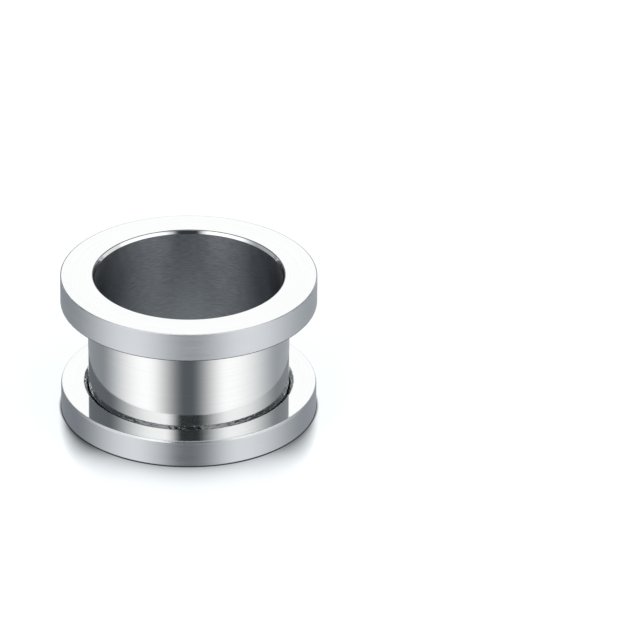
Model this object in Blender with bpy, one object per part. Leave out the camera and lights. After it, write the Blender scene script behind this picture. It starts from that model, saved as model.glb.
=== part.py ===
"""A screw-fit flesh tunnel of polished steel, standing on its loose flange.

Two turned pieces share one vertical axis. The flanged barrel is the upper flange with its tube, and
the tube's lower end is threaded. The screw flange is the loose ring that takes the threaded end.
"""
import math

import bmesh
import bpy

MM = 0.001

# Driving dimensions
GAUGE = 14.0 * MM               # outside of the barrel, where the ear lobe sits
WALL = 0.5 * MM                 # barrel wall
FLANGE_DIAMETER = 17.8 * MM
FLANGE_THICKNESS = 2.0 * MM
LOBE_LENGTH = 6.3 * MM          # between the two flanges when screwed home

# Edges and mouths
EDGE_BREAK = 0.06 * MM          # small chamfer on every flange edge
MOUTH_WIDTH = 0.125 * MM        # steep countersink at each open end: across the wall
MOUTH_DEPTH = 0.28 * MM         # and along the axis
END_BREAK = 0.06 * MM           # inner edge of the barrel's threaded end

# Screw joint
LIP_THICKNESS = 0.36 * MM       # inner lip of the loose flange, at its outside face
LIP_SETBACK = 0.03 * MM         # its hole is this much wider than the bore, on the radius
SEAT_GAP = 0.08 * MM            # between the lip and the barrel's end
THREAD_PITCH = 0.4 * MM
THREAD_DEPTH = 0.2 * MM
THREAD_CLEARANCE = 0.1 * MM     # from the male crest out to the female crest
CREST_FLAT = 0.08 * MM
RIDGES = 3
RELIEF_LENGTH = 0.2 * MM        # groove above the last ridge, hidden in the loose flange
ENTRY_WIDTH = 0.23 * MM         # 45 degree countersink where the barrel enters

SEGMENTS = 96                   # round every circle, a multiple of four
SMOOTH_ANGLE = math.radians(20)

# Worked out from the above
BARREL_RADIUS = GAUGE / 2
BORE_RADIUS = BARREL_RADIUS - WALL
MOUTH_RADIUS = BORE_RADIUS + MOUTH_WIDTH
RIM_RADIUS = FLANGE_DIAMETER / 2
THREAD_ROOT_RADIUS = BARREL_RADIUS - THREAD_DEPTH
FEMALE_CREST_RADIUS = BARREL_RADIUS + THREAD_CLEARANCE
FEMALE_ROOT_RADIUS = FEMALE_CREST_RADIUS + THREAD_DEPTH
ENTRY_RADIUS = FEMALE_CREST_RADIUS + ENTRY_WIDTH
FRONT_UNDERSIDE = FLANGE_THICKNESS + LOBE_LENGTH
TOTAL_HEIGHT = FRONT_UNDERSIDE + FLANGE_THICKNESS
SEAT_HEIGHT = LIP_THICKNESS + SEAT_GAP
THREAD_TOP = SEAT_HEIGHT + RIDGES * THREAD_PITCH


def clear_scene():
    for obj in list(bpy.data.objects):
        bpy.data.objects.remove(obj, do_unlink=True)


def steel(name, roughness):
    """Polished surgical steel."""
    material = bpy.data.materials.new(name)
    material.use_nodes = True
    shader = material.node_tree.nodes["Principled BSDF"]
    shader.inputs["Base Color"].default_value = (0.60, 0.61, 0.62, 1.0)
    shader.inputs["Metallic"].default_value = 1.0
    shader.inputs["Roughness"].default_value = roughness
    return material


def flange_rim(top, bottom):
    """Outer edge of a flange, running down, with both corners broken."""
    return [
        (RIM_RADIUS - EDGE_BREAK, top),
        (RIM_RADIUS, top - EDGE_BREAK),
        (RIM_RADIUS, bottom + EDGE_BREAK),
        (RIM_RADIUS - EDGE_BREAK, bottom),
    ]


def thread_ridges(root, crest, first_crest, count):
    """Thread section as trapezium ridges, running down from the height of the first crest."""
    points = []
    half_pitch = THREAD_PITCH / 2
    half_root = half_pitch - CREST_FLAT / 2
    for turn in range(count):
        middle = first_crest - turn * THREAD_PITCH
        points.append((root, middle + half_root))
        points.append((crest, middle + CREST_FLAT / 2))
        points.append((crest, middle - CREST_FLAT / 2))
        points.append((root, middle - half_root))
    return points


def barrel_profile():
    """Upper flange, tube and threaded end: down the outside, then up the bore."""
    relief_top = THREAD_TOP + RELIEF_LENGTH
    outside = [(MOUTH_RADIUS, TOTAL_HEIGHT)]
    outside += flange_rim(TOTAL_HEIGHT, FRONT_UNDERSIDE)
    outside += [
        (BARREL_RADIUS, FRONT_UNDERSIDE),
        (BARREL_RADIUS, relief_top),
        (THREAD_ROOT_RADIUS, relief_top - THREAD_DEPTH / 2),
    ]
    first_crest = THREAD_TOP - THREAD_PITCH / 2
    outside += thread_ridges(THREAD_ROOT_RADIUS, BARREL_RADIUS, first_crest, RIDGES)
    bore = [
        (THREAD_ROOT_RADIUS, SEAT_HEIGHT),
        (BORE_RADIUS + END_BREAK, SEAT_HEIGHT),
        (BORE_RADIUS, SEAT_HEIGHT + END_BREAK),
        (BORE_RADIUS, TOTAL_HEIGHT - MOUTH_DEPTH),
    ]
    return outside + bore


def screw_flange_profile():
    """Loose ring: its top face and rim, the outside face, the lip, the inside thread, the entry."""
    entry_bottom = FLANGE_THICKNESS - ENTRY_WIDTH
    lip_radius = BORE_RADIUS + LIP_SETBACK
    ring = [(ENTRY_RADIUS, FLANGE_THICKNESS)]
    ring += flange_rim(FLANGE_THICKNESS, 0.0)
    ring += [
        (MOUTH_RADIUS, 0.0),
        (lip_radius, MOUTH_DEPTH),
        (lip_radius, LIP_THICKNESS),
        (FEMALE_ROOT_RADIUS, LIP_THICKNESS),
    ]
    highest_crest = SEAT_HEIGHT + (RIDGES - 1) * THREAD_PITCH
    thread = thread_ridges(FEMALE_ROOT_RADIUS, FEMALE_CREST_RADIUS, highest_crest, RIDGES - 1)
    thread.reverse()
    entry = [
        (FEMALE_CREST_RADIUS, entry_bottom - CREST_FLAT),
        (FEMALE_CREST_RADIUS, entry_bottom),
    ]
    return ring + thread + entry


def turned_piece(name, profile, base, material):
    """Turn a closed profile of (radius, height) about +Z; base is the height of its origin."""
    lathe = bmesh.new()
    corners = [lathe.verts.new((radius, 0.0, height - base)) for radius, height in profile]
    edges = [lathe.edges.new((corners[i - 1], corners[i])) for i in range(len(corners))]
    bmesh.ops.spin(
        lathe,
        geom=corners + edges,
        cent=(0.0, 0.0, 0.0),
        axis=(0.0, 0.0, 1.0),
        angle=2 * math.pi,
        steps=SEGMENTS,
        use_merge=True,
    )
    bmesh.ops.recalc_face_normals(lathe, faces=lathe.faces)
    mesh = bpy.data.meshes.new(name)
    lathe.to_mesh(mesh)
    lathe.free()
    mesh.shade_smooth()
    mesh.set_sharp_from_angle(angle=SMOOTH_ANGLE)
    mesh.materials.append(material)
    obj = bpy.data.objects.new(name, mesh)
    obj.location = (0.0, 0.0, base)
    bpy.context.collection.objects.link(obj)
    return obj


def build():
    clear_scene()
    turned_piece("screw_flange", screw_flange_profile(), 0.0, steel("ring_steel", 0.15))
    turned_piece("flanged_barrel", barrel_profile(), SEAT_HEIGHT, steel("barrel_steel", 0.1))


build()
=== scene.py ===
import math
from collections import namedtuple

import bpy
from mathutils import Matrix, Vector


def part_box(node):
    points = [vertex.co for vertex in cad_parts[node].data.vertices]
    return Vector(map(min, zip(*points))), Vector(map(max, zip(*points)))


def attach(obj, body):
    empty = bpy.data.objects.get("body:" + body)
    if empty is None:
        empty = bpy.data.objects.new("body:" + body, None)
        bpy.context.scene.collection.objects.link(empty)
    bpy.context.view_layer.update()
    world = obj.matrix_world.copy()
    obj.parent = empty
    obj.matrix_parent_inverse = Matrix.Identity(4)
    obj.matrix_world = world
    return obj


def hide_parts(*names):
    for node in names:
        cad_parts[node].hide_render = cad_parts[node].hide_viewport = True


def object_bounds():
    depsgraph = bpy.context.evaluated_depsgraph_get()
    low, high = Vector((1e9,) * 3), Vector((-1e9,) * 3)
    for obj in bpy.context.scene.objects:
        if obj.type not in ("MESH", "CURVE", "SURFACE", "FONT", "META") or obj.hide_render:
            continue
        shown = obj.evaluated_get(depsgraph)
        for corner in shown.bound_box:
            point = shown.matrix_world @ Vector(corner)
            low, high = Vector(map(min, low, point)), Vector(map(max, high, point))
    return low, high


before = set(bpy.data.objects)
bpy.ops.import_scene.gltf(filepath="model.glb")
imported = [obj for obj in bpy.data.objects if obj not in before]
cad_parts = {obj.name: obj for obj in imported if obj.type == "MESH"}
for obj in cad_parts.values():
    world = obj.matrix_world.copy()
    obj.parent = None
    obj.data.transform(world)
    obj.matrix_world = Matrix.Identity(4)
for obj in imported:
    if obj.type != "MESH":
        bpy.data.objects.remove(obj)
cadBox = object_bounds()
mm = 0.001

# Sizes that both turned pieces share, in millimetres. The heights and the rim come from the frame.
barrelLow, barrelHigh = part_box("flanged_barrel")
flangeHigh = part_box("screw_flange")[1]
tunnel = {
    "rimRadius": barrelHigh.x / mm,
    "height": barrelHigh.z / mm,
    "flangeThickness": flangeHigh.z / mm,
    "seatHeight": barrelLow.z / mm,
    "barrelRadius": 7.0,
    "boreRadius": 6.5,
    "mouthRadius": 6.64,
    "mouthDepth": 0.265,
    "mouthRounding": 0.05,
    "edgeRounding": 0.09,
}
# The thread's length is where it gets extra rows; its flanks and fades are shares of a pitch.
thread = {
    "pitch": 0.4, "turns": 3, "depth": 0.2, "clearance": 0.1, "length": 1.1, "rowsPerPitch": 14,
    "rootHalf": 0.06, "crestStart": 0.4, "fade": 0.4,
}
burr = {"height": 0.02, "seed": 7}
turning = {"segments": 384, "cornerSteps": 5, "support": 0.03, "supportShare": 0.45, "weld": 0.001}
surfaces = [
    "lappedFace", "brushedRim", "turnedRim", "buffedBarrel", "reamedBore", "polishedBevel", "turnedBevel",
    "brokenEdge", "shadeDarkenedEdge", "cutThread",
]
Corner = namedtuple("Corner", "radius height rounding edge surface rows", defaults=[0])


def linear(hexColour):  # sRGB hex to the linear values that shaders take
    channels = [int(hexColour[i:i + 2], 16) / 255 for i in (1, 3, 5)]
    return [c / 12.92 if c <= 0.04045 else ((c + 0.055) / 1.055) ** 2.4 for c in channels] + [1.0]


def addNode(tree, kind, inputs=None, **settings):
    node = tree.nodes.new(kind)
    for name, value in settings.items():
        setattr(node, name, value)
    for socket, value in (inputs or {}).items():
        if isinstance(value, bpy.types.NodeSocket):
            tree.links.new(value, node.inputs[socket])
        else:
            node.inputs[socket].default_value = value
    return node


# Steel surfaces

markNoise = {"detail": 3.0, "roughness": 0.6, "low": 0.3, "high": 0.7}
quarterTurn = 0.25


def newMaterial(name):
    material = bpy.data.materials.new(name)
    material.use_nodes = True
    tree = material.node_tree
    return material, tree, tree.nodes["Principled BSDF"]


def turningMarks(tree, spacing, stretch):
    # Noise drawn out round the axis, as a cutting tool leaves it: fine along the profile, long round it.
    place = addNode(tree, "ShaderNodeTexCoord")
    xyz = addNode(tree, "ShaderNodeSeparateXYZ", {0: place.outputs["Object"]})
    flat = addNode(tree, "ShaderNodeCombineXYZ", {0: xyz.outputs[0], 1: xyz.outputs[1]})
    radius = addNode(tree, "ShaderNodeVectorMath", {0: flat.outputs[0]}, operation="LENGTH")
    along = addNode(tree, "ShaderNodeMath", {0: radius.outputs["Value"], 1: xyz.outputs[2]}, operation="ADD")
    fine = 1 / (spacing * mm)
    around = fine / stretch
    across = addNode(tree, "ShaderNodeMath", {0: along.outputs[0], 1: fine}, operation="MULTIPLY")
    sweep = addNode(tree, "ShaderNodeVectorMath", {0: flat.outputs[0], 3: around}, operation="SCALE")
    sweepParts = addNode(tree, "ShaderNodeSeparateXYZ", {0: sweep.outputs[0]})
    drawn = addNode(
        tree, "ShaderNodeCombineXYZ",
        {0: sweepParts.outputs[0], 1: sweepParts.outputs[1], 2: across.outputs[0]},
    )
    return addNode(
        tree, "ShaderNodeTexNoise",
        {
            "Vector": drawn.outputs[0], "Scale": 1.0, "Detail": markNoise["detail"],
            "Roughness": markNoise["roughness"],
        },
    )


def steelSurface(name, finish):
    material, tree, shader = newMaterial(name)
    marks = turningMarks(tree, finish["spacing"], finish["stretch"])
    roughness = addNode(
        tree, "ShaderNodeMapRange",
        {
            "Value": marks.outputs["Fac"], "From Min": markNoise["low"], "From Max": markNoise["high"],
            "To Min": finish["roughness"] * (1 - finish["unevenness"]),
            "To Max": finish["roughness"] * (1 + finish["unevenness"]),
        },
    )
    bump = addNode(
        tree, "ShaderNodeBump",
        {"Height": marks.outputs["Fac"], "Strength": 1.0, "Distance": finish["markDepth"] * mm},
    )
    darker, lighter = (Vector(linear(finish["colour"])) * (1 + sign * finish["tone"]) for sign in (-1, 1))
    tone = addNode(
        tree, "ShaderNodeMix", {0: marks.outputs["Fac"], 6: darker, 7: lighter}, data_type="RGBA"
    )
    tree.links.new(tone.outputs[2], shader.inputs["Base Color"])
    shader.inputs["Metallic"].default_value = 1.0
    tree.links.new(roughness.outputs["Result"], shader.inputs["Roughness"])
    tree.links.new(bump.outputs["Normal"], shader.inputs["Normal"])
    if "grain" in finish:  # marks that run round the axis spread the reflections up and down
        around = addNode(tree, "ShaderNodeTangent", direction_type="RADIAL", axis="Z")
        shader.inputs["Anisotropic"].default_value = finish["grain"]
        shader.inputs["Anisotropic Rotation"].default_value = quarterTurn
        tree.links.new(around.outputs["Tangent"], shader.inputs["Tangent"])
    return material


# One surgical steel throughout, which returns about three fifths of the light; the finish is what
# differs. markDepth and spacing are in millimetres. The real marks are about 0.03 mm apart, too fine
# to show, so they are drawn wider. stretch is how many times longer they are round the axis, and
# unevenness and tone are how far they vary the roughness and the colour. grain is how much more the
# reflections spread along the axis.
finishes = {
    "lappedFace": {  # lapped flat and buffed: a clear mirror, white or black by what stands over it
        "colour": "#cccdcd", "roughness": 0.05, "unevenness": 0.2, "tone": 0.05,
        "spacing": 0.12, "stretch": 60, "markDepth": 0.00002,
    },
    "brushedRim": {  # brushed round the rim: satin, with soft wide bands
        "colour": "#babdc0", "roughness": 0.5, "unevenness": 0.12, "tone": 0.05, "grain": 0.5,
        "spacing": 0.12, "stretch": 60, "markDepth": 0.0003,
    },
    "turnedRim": {  # fine-turned and less brushed: satin, with deeper bands
        "colour": "#aeb1b4", "roughness": 0.32, "unevenness": 0.12, "tone": 0.05, "grain": 0.7,
        "spacing": 0.12, "stretch": 60, "markDepth": 0.0003,
    },
    "buffedBarrel": {  # buffed on the lathe: a mirror with soft edges and hair-thin marks round it
        "colour": "#cccdcd", "roughness": 0.09, "unevenness": 0.2, "tone": 0.05,
        "spacing": 0.12, "stretch": 80, "markDepth": 0.00003,
    },
    "reamedBore": {  # reamed and left: dull dark grey with short streaks and soft upright bands
        "colour": "#929599", "roughness": 0.32, "unevenness": 0.1, "tone": 0.5, "grain": 0.88,
        "spacing": 0.06, "stretch": 9, "markDepth": 0.0003,
    },
    "polishedBevel": {  # a narrow mirror that shows as a bright ring with one dark gap
        "colour": "#b8b9ba", "roughness": 0.06, "unevenness": 0.2, "tone": 0.05,
        "spacing": 0.12, "stretch": 60, "markDepth": 0.00003,
    },
    "turnedBevel": {  # cut and never polished: specks of light and dark in the groove
        "colour": "#a8aaac", "roughness": 0.08, "unevenness": 0.3, "tone": 0.4,
        "spacing": 0.16, "stretch": 2, "markDepth": 0.004,
    },
    "shadeDarkenedEdge": {  # a crisp edge darkened with painted shade, so it shows as a thin dark line
        "colour": "#5c5e60", "roughness": 0.3, "unevenness": 0.3, "tone": 0.05,
        "spacing": 0.1, "stretch": 8, "markDepth": 0.0006,
    },
    "brokenEdge": {  # an edge eased by polishing: a thin soft highlight
        "colour": "#b4b6b8", "roughness": 0.3, "unevenness": 0.3, "tone": 0.05,
        "spacing": 0.1, "stretch": 8, "markDepth": 0.0006,
    },
    "cutThread": {  # cut with a die: dull steel with a highlight on each turn
        "colour": "#a9abad", "roughness": 0.3, "unevenness": 0.3, "tone": 0.05,
        "spacing": 0.08, "stretch": 20, "markDepth": 0.0008,
    },
}
materials = {name: steelSurface(name, finishes[name]) for name in surfaces}
print("steel surfaces made")


# Turned pieces: a profile of corners, rounded, subdivided, turned and threaded by one node tree

def withSupports(corners):
    # A plain point just off each rounded corner, on both sides, keeps the flats truly flat in reflection.
    points = []
    count = len(corners)
    for i, corner in enumerate(corners):
        before = corners[i - 1]
        after = corners[(i + 1) % count]
        here = Vector((corner.radius, corner.height))
        arriving = here - Vector((before.radius, before.height))
        leaving = Vector((after.radius, after.height)) - here
        half = arriving.angle(leaving) / 2
        tangent = corner.rounding * math.tan(half) + turning["support"]
        most = turning["supportShare"]
        onArrival = here - arriving.normalized() * min(tangent, arriving.length * most)
        onLeaving = here + leaving.normalized() * min(tangent, leaving.length * most)
        points.append(Corner(onArrival.x, onArrival.y, 0.0, "", before.surface))
        points.append(Corner(corner.radius, corner.height, corner.rounding, "", corner.edge))
        points.append(Corner(onLeaving.x, onLeaving.y, 0.0, "", corner.surface, corner.rows))
    return points


def profileObject(name, corners):
    points = withSupports(corners)
    mesh = bpy.data.meshes.new(name)
    places = [(p.radius * mm, 0.0, p.height * mm) for p in points]
    mesh.from_pydata(places, [(i, (i + 1) % len(points)) for i in range(len(points))], [])
    columns = {
        "rounding": ("FLOAT", [p.rounding * mm for p in points]),
        "surface": ("INT", [surfaces.index(p.surface) for p in points]),
        "rows": ("INT", [p.rows for p in points]),
    }
    for column, (kind, values) in columns.items():
        mesh.attributes.new(column, kind, "POINT").data.foreach_set("value", values)
    obj = bpy.data.objects.new(name, mesh)
    bpy.context.scene.collection.objects.link(obj)
    return obj


def latheTree():
    tree = bpy.data.node_groups.new("lathe", "GeometryNodeTree")
    tree.interface.new_socket("Profile", in_out="INPUT", socket_type="NodeSocketGeometry")
    for label in ("Segments", "Corner Steps"):
        tree.interface.new_socket(label, in_out="INPUT", socket_type="NodeSocketInt")
    for label in ("Thread Pitch", "Thread Depth", "Thread Low", "Thread High", "Burr"):
        tree.interface.new_socket(label, in_out="INPUT", socket_type="NodeSocketFloat")
    tree.interface.new_socket("Turned Piece", in_out="OUTPUT", socket_type="NodeSocketGeometry")
    given = addNode(tree, "NodeGroupInput").outputs

    # The section: corners rounded, then extra rows where the profile asks for them
    section = addNode(tree, "GeometryNodeMeshToCurve", {"Mesh": given["Profile"]})
    rounding = addNode(tree, "GeometryNodeInputNamedAttribute", {"Name": "rounding"}, data_type="FLOAT")
    rounded = addNode(
        tree, "GeometryNodeFilletCurve",
        {
            "Curve": section.outputs[0], "Count": given["Corner Steps"],
            "Radius": rounding.outputs[0], "Limit Radius": True,
        },
        mode="POLY",
    )
    rows = addNode(tree, "GeometryNodeInputNamedAttribute", {"Name": "rows"}, data_type="INT")
    outline = addNode(
        tree, "GeometryNodeSubdivideCurve", {"Curve": rounded.outputs[0], "Cuts": rows.outputs[0]}
    ).outputs[0]
    size = addNode(tree, "GeometryNodeAttributeDomainSize", {0: outline}, component="CURVE")

    # A grid of outline points by steps round the axis, one row and one column more than the ring needs
    rowCount = addNode(
        tree, "FunctionNodeIntegerMath", {0: size.outputs["Point Count"], 1: 1}, operation="ADD"
    )
    columnCount = addNode(
        tree, "FunctionNodeIntegerMath", {0: given["Segments"], 1: 1}, operation="ADD"
    )
    grid = addNode(
        tree, "GeometryNodeMeshGrid",
        {"Vertices X": rowCount.outputs[0], "Vertices Y": columnCount.outputs[0]},
    )
    index = addNode(tree, "GeometryNodeInputIndex").outputs[0]
    row = addNode(
        tree, "FunctionNodeIntegerMath", {0: index, 1: columnCount.outputs[0]}, operation="DIVIDE_FLOOR"
    )
    wrapped = addNode(
        tree, "FunctionNodeIntegerMath",
        {0: row.outputs[0], 1: size.outputs["Point Count"]}, operation="MODULO",
    )
    column = addNode(
        tree, "FunctionNodeIntegerMath", {0: index, 1: columnCount.outputs[0]}, operation="MODULO"
    )
    turn = addNode(
        tree, "ShaderNodeMath", {0: column.outputs[0], 1: given["Segments"]}, operation="DIVIDE"
    )
    place = addNode(tree, "GeometryNodeInputPosition").outputs[0]
    onOutline = addNode(
        tree, "GeometryNodeSampleIndex",
        {"Geometry": outline, "Value": place, "Index": wrapped.outputs[0]},
        data_type="FLOAT_VECTOR", domain="POINT",
    )
    radiusHeight = addNode(tree, "ShaderNodeSeparateXYZ", {0: onOutline.outputs[0]})
    surface = addNode(tree, "GeometryNodeInputNamedAttribute", {"Name": "surface"}, data_type="INT")
    surfaceHere = addNode(
        tree, "GeometryNodeSampleIndex",
        {"Geometry": outline, "Value": surface.outputs[0], "Index": wrapped.outputs[0]},
        data_type="INT", domain="POINT",
    )

    # The thread: a groove that climbs one pitch in each turn and fades out at both ends
    pitches = addNode(
        tree, "ShaderNodeMath",
        {0: radiusHeight.outputs[2], 1: given["Thread Pitch"]}, operation="DIVIDE",
    )
    climb = addNode(
        tree, "ShaderNodeMath", {0: pitches.outputs[0], 1: turn.outputs[0]}, operation="SUBTRACT"
    )
    phase = addNode(tree, "ShaderNodeMath", {0: climb.outputs[0]}, operation="FRACT")
    centred = addNode(
        tree, "ShaderNodeMath", {0: phase.outputs[0], 1: 0.5}, operation="SUBTRACT"
    )
    fromMiddle = addNode(tree, "ShaderNodeMath", {0: centred.outputs[0]}, operation="ABSOLUTE")
    flank = addNode(
        tree, "ShaderNodeMapRange",
        {
            "Value": fromMiddle.outputs[0], "From Min": thread["rootHalf"],
            "From Max": thread["crestStart"], "To Min": 1.0, "To Max": 0.0,
        },
    )
    fadeLength = addNode(
        tree, "ShaderNodeMath", {0: given["Thread Pitch"], 1: thread["fade"]}, operation="MULTIPLY"
    )
    lowFull = addNode(
        tree, "ShaderNodeMath", {0: given["Thread Low"], 1: fadeLength.outputs[0]}, operation="ADD"
    )
    highFull = addNode(
        tree, "ShaderNodeMath", {0: given["Thread High"], 1: fadeLength.outputs[0]}, operation="SUBTRACT"
    )
    fadeIn = addNode(
        tree, "ShaderNodeMapRange",
        {
            "Value": radiusHeight.outputs[2], "From Min": given["Thread Low"],
            "From Max": lowFull.outputs[0],
        },
        interpolation_type="SMOOTHSTEP",
    )
    fadeOut = addNode(
        tree, "ShaderNodeMapRange",
        {
            "Value": radiusHeight.outputs[2], "From Min": given["Thread High"],
            "From Max": highFull.outputs[0],
        },
        interpolation_type="SMOOTHSTEP",
    )
    threaded = addNode(
        tree, "FunctionNodeCompare",
        {2: surfaceHere.outputs[0], 3: surfaces.index("cutThread")}, data_type="INT", operation="EQUAL",
    )
    depth = given["Thread Depth"]
    for share in (flank, fadeIn, fadeOut, threaded):
        depth = addNode(
            tree, "ShaderNodeMath", {0: depth, 1: share.outputs[0]}, operation="MULTIPLY"
        ).outputs[0]
    threadedRadius = addNode(
        tree, "ShaderNodeMath", {0: radiusHeight.outputs[0], 1: depth}, operation="ADD"
    )

    # The burr: the countersink was cut and never polished, so each of its points stands a little off
    seam = addNode(
        tree, "FunctionNodeIntegerMath", {0: column.outputs[0], 1: given["Segments"]}, operation="MODULO"
    )
    pointNumber = addNode(
        tree, "FunctionNodeIntegerMath",
        {0: wrapped.outputs[0], 1: given["Segments"], 2: seam.outputs[0]}, operation="MULTIPLY_ADD",
    )
    chance = addNode(
        tree, "FunctionNodeRandomValue",
        {2: -1.0, 3: 1.0, "ID": pointNumber.outputs[0], "Seed": burr["seed"]}, data_type="FLOAT",
    )
    unpolished = addNode(
        tree, "FunctionNodeCompare",
        {2: surfaceHere.outputs[0], 3: surfaces.index("turnedBevel")}, data_type="INT", operation="EQUAL",
    )
    offset = given["Burr"]
    for share in (chance.outputs[1], unpolished.outputs[0]):
        offset = addNode(tree, "ShaderNodeMath", {0: offset, 1: share}, operation="MULTIPLY").outputs[0]
    radius = addNode(
        tree, "ShaderNodeMath", {0: threadedRadius.outputs[0], 1: offset}, operation="ADD"
    ).outputs[0]

    # Round the axis
    angle = addNode(
        tree, "ShaderNodeMath", {0: turn.outputs[0], 1: 2 * math.pi}, operation="MULTIPLY"
    ).outputs[0]
    cosine = addNode(tree, "ShaderNodeMath", {0: angle}, operation="COSINE")
    sine = addNode(tree, "ShaderNodeMath", {0: angle}, operation="SINE")
    x = addNode(tree, "ShaderNodeMath", {0: radius, 1: cosine.outputs[0]}, operation="MULTIPLY")
    y = addNode(tree, "ShaderNodeMath", {0: radius, 1: sine.outputs[0]}, operation="MULTIPLY")
    turned = addNode(
        tree, "ShaderNodeCombineXYZ",
        {0: x.outputs[0], 1: y.outputs[0], 2: radiusHeight.outputs[2]},
    )
    faceRow = addNode(
        tree, "FunctionNodeIntegerMath", {0: index, 1: given["Segments"]}, operation="DIVIDE_FLOOR"
    )
    faceSurface = addNode(
        tree, "GeometryNodeSampleIndex",
        {"Geometry": outline, "Value": surface.outputs[0], "Index": faceRow.outputs[0]},
        data_type="INT", domain="POINT",
    )
    marked = addNode(
        tree, "GeometryNodeStoreNamedAttribute",
        {"Geometry": grid.outputs["Mesh"], "Name": "surface", "Value": faceSurface.outputs[0]},
        data_type="INT", domain="FACE",
    )
    shaped = addNode(
        tree, "GeometryNodeSetPosition",
        {"Geometry": marked.outputs[0], "Position": turned.outputs[0]},
    )
    closed = addNode(
        tree, "GeometryNodeMergeByDistance",
        {"Geometry": shaped.outputs[0], "Distance": turning["weld"] * mm},
    )
    smooth = addNode(tree, "GeometryNodeSetShadeSmooth", {"Geometry": closed.outputs[0]})
    piece = addNode(tree, "GeometryNodeRealizeInstances", {"Geometry": smooth.outputs[0]}).outputs[0]
    onFace = addNode(tree, "GeometryNodeInputNamedAttribute", {"Name": "surface"}, data_type="INT")
    for number, name in enumerate(surfaces):
        chosen = addNode(
            tree, "FunctionNodeCompare",
            {2: onFace.outputs[0], 3: number}, data_type="INT", operation="EQUAL",
        )
        piece = addNode(
            tree, "GeometryNodeSetMaterial",
            {"Geometry": piece, "Selection": chosen.outputs[0], "Material": materials[name]},
        ).outputs[0]
    result = addNode(tree, "NodeGroupOutput")
    tree.links.new(piece, result.inputs[0])
    return tree


def turnPiece(name, corners, tree, inputs):
    blank = profileObject(name + "Profile", corners)
    modifier = blank.modifiers.new("lathe", "NODES")
    modifier.node_group = tree
    for item in tree.interface.items_tree:
        if item.name in inputs:
            modifier[item.identifier] = inputs[item.name]
    evaluated = blank.evaluated_get(bpy.context.evaluated_depsgraph_get())
    mesh = bpy.data.meshes.new_from_object(evaluated)
    mesh.name = name
    piece = bpy.data.objects.new(name, mesh)
    bpy.context.scene.collection.objects.link(piece)
    blank.modifiers.remove(modifier)
    bpy.data.objects.remove(blank)
    print(name, "turned,", sum(len(p.vertices) - 2 for p in mesh.polygons), "triangles")
    return piece


threadRows = round(thread["length"] / thread["pitch"] * thread["rowsPerPitch"])
lathe = latheTree()
shared = {
    "Segments": turning["segments"],
    "Corner Steps": turning["cornerSteps"],
    "Thread Pitch": thread["pitch"] * mm,
    "Burr": burr["height"] * mm,
}

# The barrel and its flange, in millimetres. Polishing rolls the upper edge off by rollWidth and
# rollDrop. Below the smooth barrel come a relief, the thread's crest and a lead-in at the end.
barrelCut = {
    "breakRadius": 6.61, "breakDepth": 0.05, "breakRounding": 0.06,
    "rollWidth": 0.07, "rollDrop": 0.025, "rollRounding": 0.08,
    "undersideDrop": 0.06, "softRounding": 0.03, "cutRounding": 0.02,
    "reliefHigh": 0.2, "reliefLow": 0.1, "runOut": 0.02, "crestDrop": 0.04, "leadIn": 0.1,
    "endBreak": 0.06, "cutShare": 0.8, "cutStart": 0.05,
}


def barrelCorners():
    # Down the outside from the mouth, then up the bore
    t = tunnel
    b = barrelCut
    underside = t["height"] - t["flangeThickness"] - b["undersideDrop"]
    threadTop = t["seatHeight"] + thread["turns"] * thread["pitch"]
    neck = t["barrelRadius"] - thread["depth"]
    crest = t["barrelRadius"] - b["crestDrop"]
    soft = b["softRounding"]
    cut = b["cutRounding"]
    return [
        Corner(
            b["breakRadius"], t["height"] - b["breakDepth"], b["breakRounding"],
            "polishedBevel", "polishedBevel",
        ),
        Corner(t["mouthRadius"], t["height"], t["mouthRounding"], "shadeDarkenedEdge", "lappedFace"),
        Corner(
            t["rimRadius"] - b["rollWidth"], t["height"], b["rollRounding"], "brokenEdge", "brokenEdge"
        ),
        Corner(t["rimRadius"], t["height"] - b["rollDrop"], soft, "brokenEdge", "brushedRim"),
        Corner(t["rimRadius"], underside, t["edgeRounding"], "shadeDarkenedEdge", "lappedFace"),
        Corner(t["barrelRadius"], underside, soft, "buffedBarrel", "buffedBarrel"),
        Corner(t["barrelRadius"], threadTop + b["reliefHigh"], cut, "cutThread", "cutThread"),
        Corner(neck, threadTop + b["reliefLow"], cut, "cutThread", "cutThread"),
        Corner(neck, threadTop + b["runOut"], 0.0, "cutThread", "cutThread"),
        Corner(crest, threadTop, 0.0, "cutThread", "cutThread", threadRows),
        Corner(crest, t["seatHeight"] + b["leadIn"], 0.0, "cutThread", "cutThread"),
        Corner(neck, t["seatHeight"], soft, "cutThread", "cutThread"),
        Corner(t["boreRadius"] + b["endBreak"], t["seatHeight"], cut, "reamedBore", "reamedBore"),
        Corner(t["boreRadius"], t["seatHeight"] + b["endBreak"], cut, "reamedBore", "reamedBore"),
        Corner(t["boreRadius"], t["height"] - t["mouthDepth"], soft, "shadeDarkenedEdge", "polishedBevel"),
    ]


flangedBarrel = turnPiece(
    "flangedBarrel", barrelCorners(), lathe,
    {
        **shared, "Thread Depth": -thread["depth"] * barrelCut["cutShare"] * mm,
        "Thread Low": (tunnel["seatHeight"] + barrelCut["cutStart"]) * mm,
        "Thread High": (tunnel["seatHeight"] + thread["turns"] * thread["pitch"]) * mm,
    },
)

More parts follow.
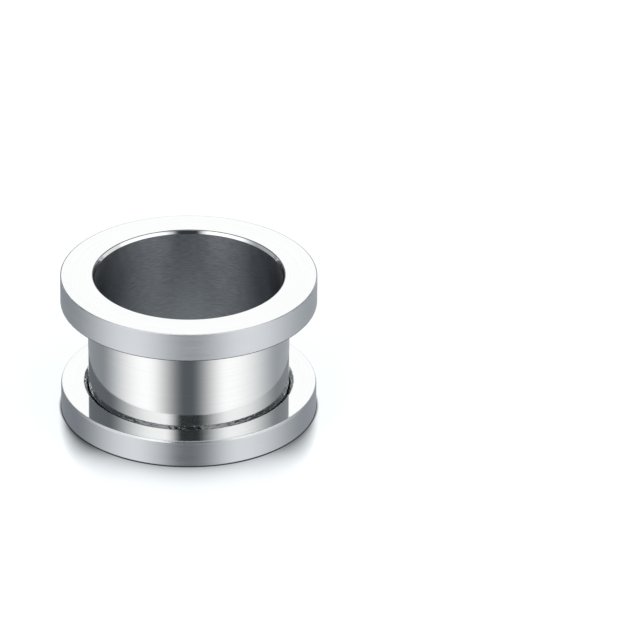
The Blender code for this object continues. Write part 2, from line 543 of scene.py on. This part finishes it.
# The loose flange, in millimetres. Its rim tapers a little to the top. The groove is the countersink
# where the barrel enters, down to a close collar; below come the thread and the lip that seats the end.
flangeCut = {
    "grooveRadius": 7.29, "grooveDepth": 0.22, "grooveRows": 4,
    "taperWidth": 0.05, "taperDrop": 0.17, "taperRounding": 0.03, "rimRounding": 0.05,
    "lipStep": 0.03, "seatGap": 0.08, "lipRounding": 0.01, "cutRounding": 0.02,
    "rootRise": 0.08, "crestRise": 0.12, "crestEnd": 0.2, "collarGap": 0.03, "collarHeight": 0.12,
    "cutEnd": 0.42,
}


def flangeCorners():
    # From the groove out over the top face, down the rim, in along the underside and up the inside
    t = tunnel
    f = flangeCut
    femaleCrest = t["barrelRadius"] + thread["clearance"]
    femaleRoot = femaleCrest + thread["depth"]
    collar = t["barrelRadius"] + f["collarGap"]
    collarTop = t["flangeThickness"] - f["grooveDepth"]
    lipTop = t["seatHeight"] - f["seatGap"]
    lipRadius = t["boreRadius"] + f["lipStep"]
    cut = f["cutRounding"]
    return [
        Corner(f["grooveRadius"], t["flangeThickness"], cut, "turnedBevel", "lappedFace"),
        Corner(
            t["rimRadius"] - f["taperWidth"], t["flangeThickness"], f["taperRounding"],
            "brokenEdge", "polishedBevel",
        ),
        Corner(
            t["rimRadius"], t["flangeThickness"] - f["taperDrop"], f["rimRounding"],
            "brokenEdge", "turnedRim",
        ),
        Corner(t["rimRadius"], 0.0, t["edgeRounding"], "shadeDarkenedEdge", "lappedFace"),
        Corner(t["mouthRadius"], 0.0, t["mouthRounding"], "shadeDarkenedEdge", "polishedBevel"),
        Corner(lipRadius, t["mouthDepth"], cut, "reamedBore", "reamedBore"),
        Corner(lipRadius, lipTop, f["lipRounding"], "cutThread", "cutThread"),
        Corner(femaleRoot, lipTop, cut, "cutThread", "cutThread"),
        Corner(femaleRoot, lipTop + f["rootRise"], 0.0, "cutThread", "cutThread"),
        Corner(femaleCrest, lipTop + f["crestRise"], 0.0, "cutThread", "cutThread", threadRows),
        Corner(femaleCrest, collarTop - f["crestEnd"], 0.0, "cutThread", "cutThread"),
        Corner(collar, collarTop - f["collarHeight"], cut, "cutThread", "cutThread"),
        Corner(collar, collarTop, cut, "cutThread", "turnedBevel", f["grooveRows"]),
    ]


screwFlange = turnPiece(
    "screwFlange", flangeCorners(), lathe,
    {
        **shared, "Thread Depth": thread["depth"] * mm,
        "Thread Low": tunnel["seatHeight"] * mm,
        "Thread High": (tunnel["flangeThickness"] - flangeCut["cutEnd"]) * mm,
    },
)
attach(flangedBarrel, "barrel")
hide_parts("flanged_barrel")
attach(screwFlange, "ring")
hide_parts("screw_flange")


# Camera: the photograph's angle, from a fit of the rim and mouth ellipses. Distances are in metres.

camera = {
    "distance": 0.4585, "elevation": 28.33, "focalPixels": 6594.0, "sensorWidth": 36.0,
    "objectPixel": (188.8, 339.6), "framePixels": 640, "nearest": 0.01, "farthest": 10.0,
}


def placeCamera():
    data = bpy.data.cameras.new("camera")
    data.sensor_width = camera["sensorWidth"]
    data.lens = camera["focalPixels"] / camera["framePixels"] * data.sensor_width
    data.clip_start = camera["nearest"]
    data.clip_end = camera["farthest"]
    obj = bpy.data.objects.new("camera", data)
    bpy.context.scene.collection.objects.link(obj)
    tilt = math.radians(camera["elevation"])
    middle = Vector((0.0, 0.0, cadBox[1].z / 2))
    back = Vector((0.0, -math.cos(tilt), math.sin(tilt)))
    centre = camera["framePixels"] / 2
    yaw = math.atan2(centre - camera["objectPixel"][0], camera["focalPixels"])
    pitch = math.atan2(camera["objectPixel"][1] - centre, camera["focalPixels"])
    aim = (-back).to_track_quat("-Z", "Y").to_matrix()
    aim = aim @ Matrix.Rotation(-yaw, 3, "Y") @ Matrix.Rotation(pitch, 3, "X")
    obj.matrix_world = Matrix.Translation(middle + back * camera["distance"]) @ aim.to_4x4()
    bpy.context.scene.camera = obj


placeCamera()

# Light tent: soft cards by azimuth and elevation in degrees, azimuth 0 towards the camera and + to its
# right. Each card is laid over the ones before it. "left" and "right" are how far it stays full and
# where it ends, from its middle; "up" is where it starts, is full, stays full and ends; light is its
# brightness, 1 being paper white. gapBrightness shows between the cards, and coolness is how blue a
# part of the tent turns as it darkens.
tent = {
    "gapBrightness": 0.155,
    "backdrop": 1.0,
    "coolness": 0.12,
    "cards": {
        "left wall": {
            "middle": -110, "left": (90, 100), "right": (60, 80), "up": (-91, -90, 90, 91), "light": 0.39},
        "right wall": {
            "middle": 110, "left": (60, 80), "right": (60, 80), "up": (-91, -90, 90, 91), "light": 0.51},
        "dark upper left": {
            "middle": -110, "left": (60, 70), "right": (60, 80), "up": (-4, 4, 90, 91), "light": 0.3},
        "camera gap": {
            "middle": 0, "left": (22, 30), "right": (22, 30), "up": (-4, 4, 90, 91), "light": 0.07},
        "below the gap": {
            "middle": 0, "left": (22, 30), "right": (22, 30), "up": (-6, 0, 19, 23), "light": 0.3},
        "above the gap": {
            "middle": 0, "left": (20, 30), "right": (20, 30), "up": (32, 37, 48, 54), "light": 0.9},
        "back window": {
            "middle": 180, "left": (7, 14), "right": (7, 14), "up": (12, 18, 44, 54), "light": 1.57},
        "low left": {
            "middle": -51, "left": (1, 69), "right": (1, 47), "up": (-91, -90, -4, 4), "light": 1.62},
        "low right": {
            "middle": 47, "left": (1, 45), "right": (1, 78), "up": (-91, -90, -4, 4), "light": 1.6},
        "low edge left": {
            "middle": -44, "left": (16, 36), "right": (26, 34), "up": (6, 12, 25, 26.8), "light": 2.35},
        "low edge right": {
            "middle": 44, "left": (24, 32), "right": (36, 56), "up": (6, 12, 25, 26.8), "light": 2.4},
        "high left": {
            "middle": -33, "left": (5, 73), "right": (5, 25), "up": (-4, 4, 90, 91), "light": 2.28},
        "high right": {
            "middle": 52, "left": (2, 43), "right": (3, 73), "up": (-4, 4, 90, 91), "light": 2.25},
        "low front": {
            "middle": 0, "left": (9, 14), "right": (9, 14), "up": (-15, -11, -5, -1), "light": 1.4},
        "low front left": {
            "middle": -22, "left": (5, 9), "right": (5, 9), "up": (-20, -16, 0, 5), "light": 1.7},
        "high flank left": {
            "middle": -120, "left": (60, 70), "right": (60, 66), "up": (31, 37, 90, 91), "light": 0.28},
        "high flank right": {
            "middle": 120, "left": (62, 68), "right": (60, 70), "up": (31, 37, 90, 91), "light": 0.25},
        "low flank right": {
            "middle": 106, "left": (14, 22), "right": (18, 24), "up": (0, 4, 19, 24), "light": 1.5},
        "low flank left": {
            "middle": -106, "left": (18, 24), "right": (14, 22), "up": (0, 4, 19, 24), "light": 0.75},
        "back glint left": {
            "middle": -140, "left": (14, 20), "right": (14, 20), "up": (1, 5, 17, 22), "light": 2.2},
        "back glint right": {
            "middle": 140, "left": (14, 20), "right": (14, 20), "up": (1, 5, 17, 22), "light": 2.2},
        "ceiling": {
            "middle": 0, "left": (180, 181), "right": (180, 181), "up": (46, 58, 90, 91), "light": 1.7},
        "overhead gap": {
            "middle": 0, "left": (22, 34), "right": (22, 34), "up": (54, 58, 86, 89), "light": 0.07},
    },
}


def tinted(light):
    cool = max(0.0, tent["coolness"] * (1.0 - light))
    return [light * (1 - cool), light, light * (1 + cool)]


def lightTent():
    world = bpy.data.worlds.new("lightTent")
    world.use_nodes = True
    bpy.context.scene.world = world
    tree = world.node_tree
    tree.nodes.clear()
    ray = addNode(tree, "ShaderNodeTexCoord")
    xyz = addNode(tree, "ShaderNodeSeparateXYZ", {0: ray.outputs["Generated"]})
    forward = addNode(tree, "ShaderNodeMath", {0: xyz.outputs[1], 1: -1.0}, operation="MULTIPLY")
    aroundTent = addNode(
        tree, "ShaderNodeMath", {0: xyz.outputs[0], 1: forward.outputs[0]}, operation="ARCTAN2"
    )
    azimuth = addNode(tree, "ShaderNodeMath", {0: aroundTent.outputs[0]}, operation="DEGREES").outputs[0]
    rise = addNode(tree, "ShaderNodeMath", {0: xyz.outputs[2]}, operation="ARCSINE")
    elevation = addNode(tree, "ShaderNodeMath", {0: rise.outputs[0]}, operation="DEGREES").outputs[0]
    gap = tinted(tent["gapBrightness"])
    light = addNode(tree, "ShaderNodeCombineXYZ", dict(enumerate(gap))).outputs[0]
    for card in tent["cards"].values():
        offset = addNode(
            tree, "ShaderNodeMath", {0: azimuth, 1: card["middle"]}, operation="SUBTRACT"
        )
        across = addNode(
            tree, "ShaderNodeMath", {0: offset.outputs[0], 1: -180.0, 2: 180.0}, operation="WRAP"
        ).outputs[0]
        edges = [
            (across, -card["left"][1], -card["left"][0]),
            (across, card["right"][1], card["right"][0]),
            (elevation, card["up"][0], card["up"][1]),
            (elevation, card["up"][3], card["up"][2]),
        ]
        cover = 1.0
        for value, outside, inside in edges:
            edge = addNode(
                tree, "ShaderNodeMapRange",
                {"Value": value, "From Min": outside, "From Max": inside},
                interpolation_type="SMOOTHSTEP",
            )
            cover = addNode(
                tree, "ShaderNodeMath", {0: cover, 1: edge.outputs["Result"]}, operation="MULTIPLY"
            ).outputs[0]
        light = addNode(
            tree, "ShaderNodeMix",
            {0: cover, 4: light, 5: tinted(card["light"])}, data_type="VECTOR",
        ).outputs[1]
    # Past the sheet the camera sees plain white: the cards only light the steel and the sheet
    path = addNode(tree, "ShaderNodeLightPath").outputs
    white = [tent["backdrop"]] * 3
    seen = addNode(
        tree, "ShaderNodeMix", {0: path["Is Camera Ray"], 4: light, 5: white}, data_type="VECTOR"
    )
    sky = addNode(tree, "ShaderNodeBackground", {"Color": seen.outputs[1]})
    addNode(tree, "ShaderNodeOutputWorld", {0: sky.outputs[0]})


lightTent()

# Floor: a wide white sheet, soft and a little bright of itself, so that it stays even beyond the
# painted shadow. The shadow is painted shade within an ellipse, pulled out to the front; its depth and
# the power of its fall are given by angle, 0 straight to the front or back and 90 beside.
# Distances are in millimetres.
floor = {
    "halfWidth": 1000.0, "colour": "#f8fcff", "shadowColour": "#0a151c", "glow": 0.82, "paper": 0.25,
    "shadowBeside": 9.25, "shadowFront": 16.5, "shadowBack": 11.5, "leftDepth": 1.07, "rightDepth": 0.95,
    "depth": [(0, 0.64), (10, 0.6), (20, 0.53), (30, 0.51), (40, 0.68), (50, 0.86), (60, 0.9), (90, 0.8)],
    "power": [
        (0, 5.0), (10, 4.8), (20, 3.8), (30, 2.0), (40, 1.3), (50, 0.9), (60, 1.0), (70, 1.5), (90, 3.0),
    ],
    "powerTop": 8.0, "frontFade": (-0.05, -0.4), "backFade": (0.6, 0.9), "sideFade": 0.5,
    "contactWidth": 0.2, "contactDepth": 1.0, "boreDepth": 0.3, "boreFade": 1.4,
}


def paintedContactShadow(tree):
    # Painted shadow: how dark the sheet is painted, from the rim's edge out to the ellipse
    place = addNode(tree, "ShaderNodeTexCoord")
    flat = addNode(
        tree, "ShaderNodeVectorMath", {0: place.outputs["Object"], 1: (1 / mm, 1 / mm, 0)},
        operation="MULTIPLY",
    )
    radius = addNode(tree, "ShaderNodeVectorMath", {0: flat.outputs[0]}, operation="LENGTH")
    heading = addNode(tree, "ShaderNodeVectorMath", {0: flat.outputs[0]}, operation="NORMALIZE")
    parts = addNode(tree, "ShaderNodeSeparateXYZ", {0: heading.outputs[0]})
    behind = addNode(tree, "ShaderNodeMath", {0: parts.outputs[1], 1: 0.0}, operation="GREATER_THAN")
    length = addNode(
        tree, "ShaderNodeMapRange",
        {"Value": behind.outputs[0], "To Min": floor["shadowFront"], "To Max": floor["shadowBack"]},
    )
    sideways = addNode(
        tree, "ShaderNodeMath", {0: parts.outputs[0], 1: floor["shadowBeside"]}, operation="DIVIDE"
    )
    lengthways = addNode(
        tree, "ShaderNodeMath", {0: parts.outputs[1], 1: length.outputs[0]}, operation="DIVIDE"
    )
    stretched = addNode(
        tree, "ShaderNodeCombineXYZ", {0: sideways.outputs[0], 1: lengthways.outputs[0]}
    )
    closeness = addNode(tree, "ShaderNodeVectorMath", {0: stretched.outputs[0]}, operation="LENGTH")
    reach = addNode(tree, "ShaderNodeMath", {0: 1.0, 1: closeness.outputs["Value"]}, operation="DIVIDE")
    inside = addNode(
        tree, "ShaderNodeMapRange",
        {
            "Value": radius.outputs["Value"], "From Min": reach.outputs[0],
            "From Max": tunnel["rimRadius"],
        },
    )
    beside = addNode(tree, "ShaderNodeMath", {0: parts.outputs[0]}, operation="ABSOLUTE")
    turn = addNode(tree, "ShaderNodeMath", {0: beside.outputs[0]}, operation="ARCSINE")
    share = addNode(tree, "ShaderNodeMath", {0: turn.outputs[0], 1: math.pi / 2}, operation="DIVIDE")
    byAngle = {}
    for name, top in (("depth", 1.0), ("power", floor["powerTop"])):
        curve = addNode(tree, "ShaderNodeFloatCurve", {"Value": share.outputs[0]})
        points = curve.mapping.curves[0].points
        while len(points) < len(floor[name]):
            points.new(0.5, 0.5)
        for point, (angle, value) in zip(points, floor[name]):
            point.location = (angle / 90, value / top)
        curve.mapping.update()
        byAngle[name] = curve.outputs[0]
    power = addNode(
        tree, "ShaderNodeMath", {0: byAngle["power"], 1: floor["powerTop"]}, operation="MULTIPLY"
    )
    fall = addNode(
        tree, "ShaderNodeMath", {0: inside.outputs[0], 1: power.outputs[0]}, operation="POWER"
    )
    front = addNode(
        tree, "ShaderNodeMapRange",
        {
            "Value": parts.outputs[1], "From Min": floor["frontFade"][0],
            "From Max": floor["frontFade"][1],
        },
        interpolation_type="SMOOTHSTEP",
    )
    back = addNode(
        tree, "ShaderNodeMapRange",
        {
            "Value": parts.outputs[1], "From Min": floor["backFade"][0],
            "From Max": floor["backFade"][1],
        },
        interpolation_type="SMOOTHSTEP",
    )
    ends = addNode(tree, "ShaderNodeMath", {0: front.outputs[0], 1: back.outputs[0]}, operation="ADD")
    side = addNode(
        tree, "ShaderNodeMapRange",
        {
            "Value": parts.outputs[0], "From Min": -floor["sideFade"], "From Max": floor["sideFade"],
            "To Min": floor["leftDepth"], "To Max": floor["rightDepth"],
        },
    )
    shade = byAngle["depth"]
    for factor in (fall, ends, side):
        shade = addNode(
            tree, "ShaderNodeMath", {0: shade, 1: factor.outputs[0]}, operation="MULTIPLY"
        ).outputs[0]
    # Painted shade at its darkest over the last fraction of a millimetre, where the sheet passes under the
    # rounded edge
    under = addNode(
        tree, "ShaderNodeMapRange",
        {
            "Value": radius.outputs["Value"], "From Min": tunnel["rimRadius"] + floor["contactWidth"],
            "From Max": tunnel["rimRadius"], "To Max": floor["contactDepth"],
        },
    )
    covered = addNode(tree, "ShaderNodeMath", {0: shade, 1: under.outputs[0]}, operation="MAXIMUM")
    # Painted light: inside the bore the painted shade eases off, where light falls down the bore onto the
    # sheet
    openSheet = addNode(
        tree, "ShaderNodeMapRange",
        {
            "Value": radius.outputs["Value"], "From Min": tunnel["boreRadius"] - floor["boreFade"],
            "From Max": tunnel["boreRadius"], "To Min": floor["boreDepth"],
        },
        interpolation_type="SMOOTHSTEP",
    )
    return addNode(
        tree, "ShaderNodeMath", {0: covered.outputs[0], 1: openSheet.outputs[0]}, operation="MULTIPLY"
    ).outputs[0]


def floorSheet():
    half = floor["halfWidth"] * mm
    mesh = bpy.data.meshes.new("floorSheet")
    mesh.from_pydata(
        [(-half, -half, 0.0), (half, -half, 0.0), (half, half, 0.0), (-half, half, 0.0)], [], [(0, 1, 2, 3)]
    )
    sheet = bpy.data.objects.new("floorSheet", mesh)
    bpy.context.scene.collection.objects.link(sheet)
    paper, tree, shader = newMaterial("paperWithPaintedShadow")
    # The painted shadow darkens the paper's colour and its glow alike
    shaded = addNode(
        tree, "ShaderNodeMix",
        {0: paintedContactShadow(tree), 6: linear(floor["colour"]), 7: linear(floor["shadowColour"])},
        data_type="RGBA",
    )
    paperShare = addNode(
        tree, "ShaderNodeVectorMath", {0: shaded.outputs[2], 3: floor["paper"]}, operation="SCALE"
    )
    tree.links.new(paperShare.outputs[0], shader.inputs["Base Color"])
    tree.links.new(shaded.outputs[2], shader.inputs["Emission Color"])
    shader.inputs["Emission Strength"].default_value = floor["glow"]
    shader.inputs["Roughness"].default_value = 1.0
    shader.inputs["Specular IOR Level"].default_value = 0.0
    mesh.materials.append(paper)
    sheet.visible_glossy = False


# A grey card on the sheet inside the bore, which only the steel mirrors. Its glow is painted light and
# shade of the sheet under the bore: it falls from the centre to painted shade at the walls, with one band
# along the middle and a brighter one at each side. Distances are in millimetres.
card = {
    "radius": 6.4, "lift": 0.02, "steps": 64, "colour": "#000000", "glowColour": "#f4fbff",
    "centre": 0.75, "edge": 0.055, "fall": (0.5, 5.4),
    "middle": 0.22, "middleFall": (0.6, 2.6), "sides": 0.85, "sideFall": (3.2, 4.6),
}


def boreCard():
    mesh = bpy.data.meshes.new("boreCard")
    turns = [2 * math.pi * i / card["steps"] for i in range(card["steps"])]
    reach = card["radius"] * mm
    lift = card["lift"] * mm
    ring = [(reach * math.cos(turn), reach * math.sin(turn), lift) for turn in turns]
    mesh.from_pydata(ring, [], [tuple(range(card["steps"]))])
    obj = bpy.data.objects.new("boreCard", mesh)
    bpy.context.scene.collection.objects.link(obj)
    cardGlowMaterial, tree, shader = newMaterial("paintedBoreSheetLight")
    place = addNode(tree, "ShaderNodeTexCoord")
    radius = addNode(tree, "ShaderNodeVectorMath", {0: place.outputs["Object"]}, operation="LENGTH")
    parts = addNode(tree, "ShaderNodeSeparateXYZ", {0: place.outputs["Object"]})
    aside = addNode(tree, "ShaderNodeMath", {0: parts.outputs[0]}, operation="ABSOLUTE")
    # Painted light and shade of the sheet under the bore, as bands of glow
    bands = [
        (radius.outputs["Value"], card["fall"], card["centre"], card["edge"]),
        (aside.outputs[0], card["sideFall"], 0.0, card["sides"]),
        (aside.outputs[0], card["middleFall"], card["middle"], 0.0),
    ]
    glow = 0.0
    for distance, fall, near, far in bands:
        band = addNode(
            tree, "ShaderNodeMapRange",
            {
                "Value": distance, "From Min": fall[0] * mm, "From Max": fall[1] * mm,
                "To Min": near, "To Max": far,
            },
            interpolation_type="SMOOTHSTEP",
        )
        glow = addNode(
            tree, "ShaderNodeMath", {0: glow, 1: band.outputs["Result"]}, operation="ADD"
        ).outputs[0]
    shader.inputs["Base Color"].default_value = linear(card["colour"])
    shader.inputs["Roughness"].default_value = 1.0
    shader.inputs["Specular IOR Level"].default_value = 0.0
    shader.inputs["Emission Color"].default_value = linear(card["glowColour"])
    tree.links.new(glow, shader.inputs["Emission Strength"])
    mesh.materials.append(cardGlowMaterial)
    obj.visible_camera = False
    obj.visible_diffuse = False
    obj.visible_shadow = False


floorSheet()
boreCard()
bpy.context.scene.view_settings.view_transform = "Standard"
print("camera, light tent and floor set")
